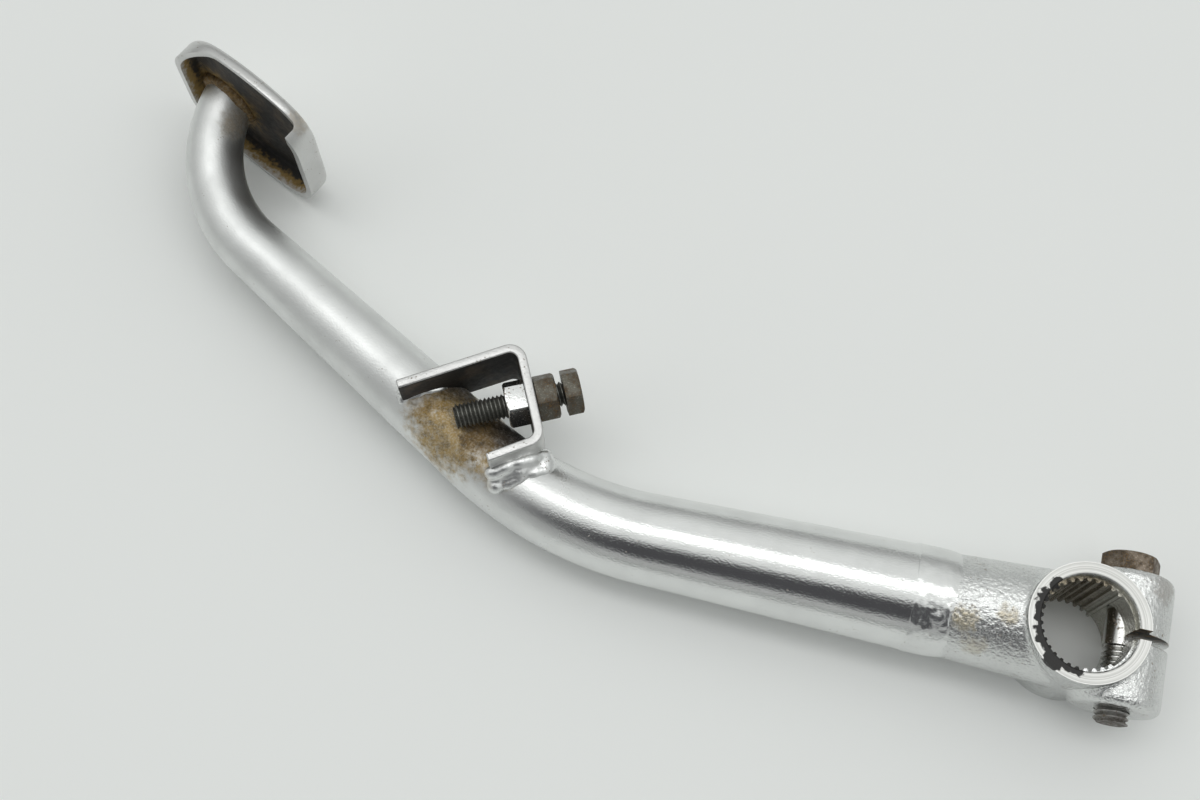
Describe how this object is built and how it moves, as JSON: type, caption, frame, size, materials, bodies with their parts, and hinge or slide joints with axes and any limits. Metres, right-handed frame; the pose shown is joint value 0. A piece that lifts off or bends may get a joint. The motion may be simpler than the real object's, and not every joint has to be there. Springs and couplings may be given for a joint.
{
  "type": "brake pedal",
  "caption": "Motorcycle brake pedal: bent conical tube with a splined clamp hub, pinch bolt, pressed foot pad and an adjustable stop bolt on a folded bracket.",
  "frame": {"origin": "on the splined bore's axis, at the hub's lower face, which is also the surface the pedal lies on", "axes": "+Z along the bore axis, up out of the machined ring face; the arm leaves the hub along -X and cranks towards +Y at the foot pad; the pinch bolt runs along Y"},
  "size_m": [0.2642, 0.112, 0.0442],
  "materials": {
    "chrome_tube": "worn chrome plate with fine pitting",
    "forged_hub": "chrome plate over a rough forging, machined ring face",
    "weld_bead": "rippled weld under chrome plate",
    "pad_pan": "chrome outside, dark and rusty inside",
    "bracket_strip": "worn chrome plate",
    "plated_nut": "chrome plate with specks",
    "rusty_steel": "rusted zinc-plated steel"
  },
  "bodies": {
    "pedal": {"pedal_tube": "chrome_tube", "clamp_hub": "forged_hub", "hub_weld": "weld_bead", "pinch_bolt": "rusty_steel", "foot_pad": "pad_pan", "pad_weld": "weld_bead", "stop_bracket": "bracket_strip", "bracket_weld": "weld_bead", "toe_weld": "weld_bead", "weld_nut": "plated_nut"},
    "lock_nut": {"lock_nut": "rusty_steel"},
    "stop_bolt": {"stop_bolt": "rusty_steel"}
  },
  "joints": [
    {"name": "stop_bolt_adjust", "type": "slide", "parent": "pedal", "child": "stop_bolt", "axis": [0.8988, 0.4384, 0], "range_m": [-0.0015, 0.01]},
    {"name": "lock_nut_turn", "type": "hinge", "parent": "pedal", "child": "lock_nut", "pos_m": [-0.1346, 0.024, 0.025], "axis": [0.8988, 0.4384, 0], "range_deg": [0, 360]}
  ]
}
